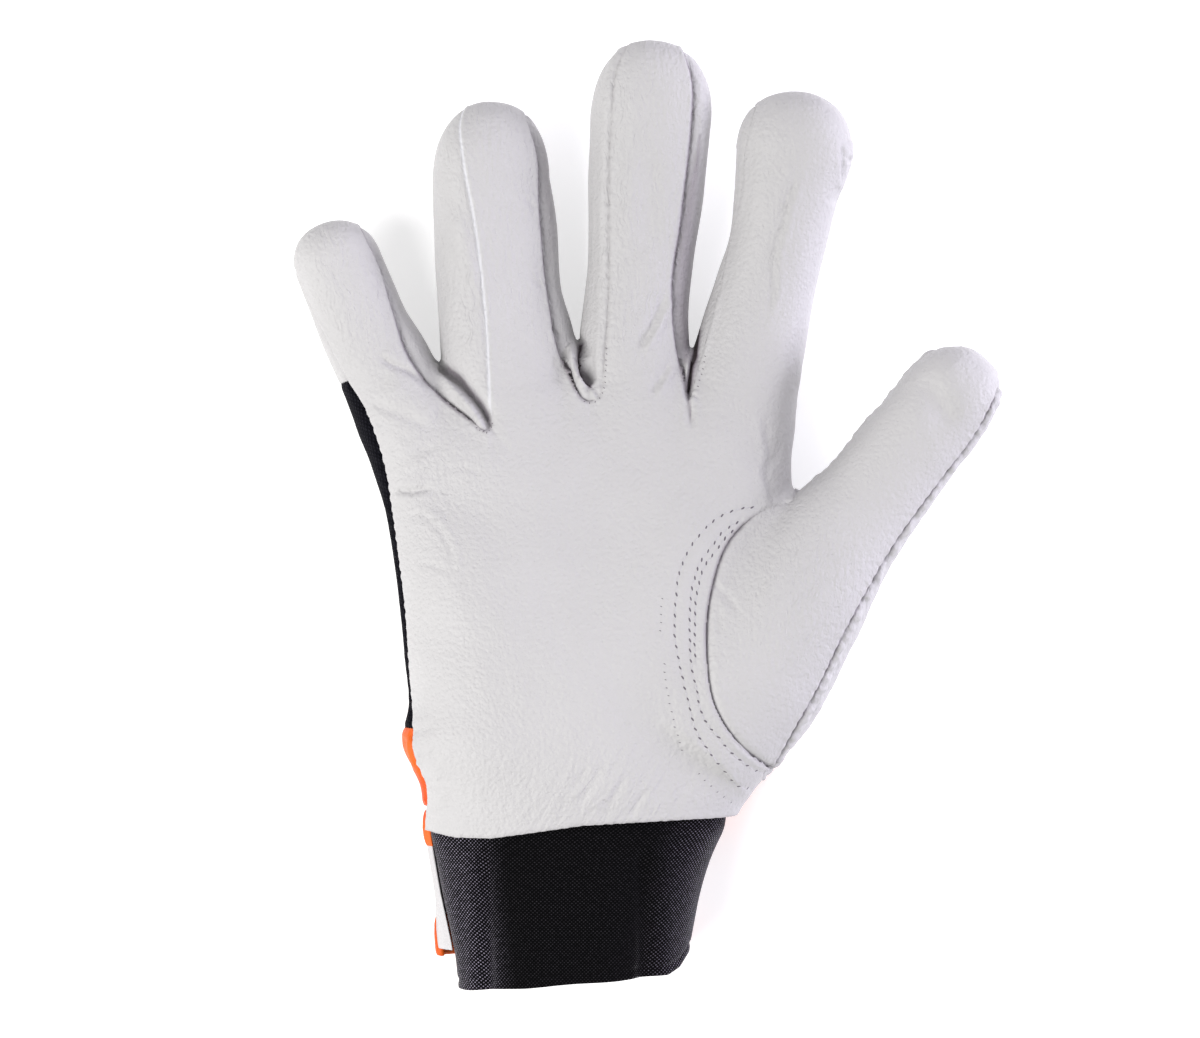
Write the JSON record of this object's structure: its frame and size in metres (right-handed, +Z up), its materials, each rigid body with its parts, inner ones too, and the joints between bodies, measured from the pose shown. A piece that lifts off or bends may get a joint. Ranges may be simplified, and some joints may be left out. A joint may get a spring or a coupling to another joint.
{
  "type": "goatskin work glove",
  "caption": "Right-hand goatskin work glove with gusseted fingers, a set-in thumb, a black stretch back and knit cuff, and a closing strap bound in orange.",
  "frame": {"origin": "on the surface that the glove lies on, under the middle of its outline", "axes": "+X towards the thumb, +Y towards the fingertips, +Z up out of the palm"},
  "size_m": [0.1848, 0.2491, 0.0412],
  "materials": {
    "goatskin": "soft satin grain",
    "back_fabric": "matte stretch weave",
    "yoke_fabric": "matte",
    "cuff_knit": "matte fine knit",
    "strap_face": "satin",
    "binding": "matte"
  },
  "bodies": {
    "root": {"palm_leather": "goatskin", "thumb_front": "goatskin", "thumb_back": "goatskin", "gusset_pinky_ring": "goatskin", "gusset_ring_middle": "goatskin", "gusset_middle_index": "goatskin", "finger_back_pinky": "goatskin", "finger_back_ring": "goatskin", "finger_back_middle": "goatskin", "finger_back_index": "goatskin", "hand_back": "back_fabric", "wrist_yoke": "yoke_fabric", "knit_cuff": "cuff_knit", "wrist_strap": "strap_face", "strap_binding_upper": "binding", "strap_binding_lower": "binding"}
  },
  "joints": []
}
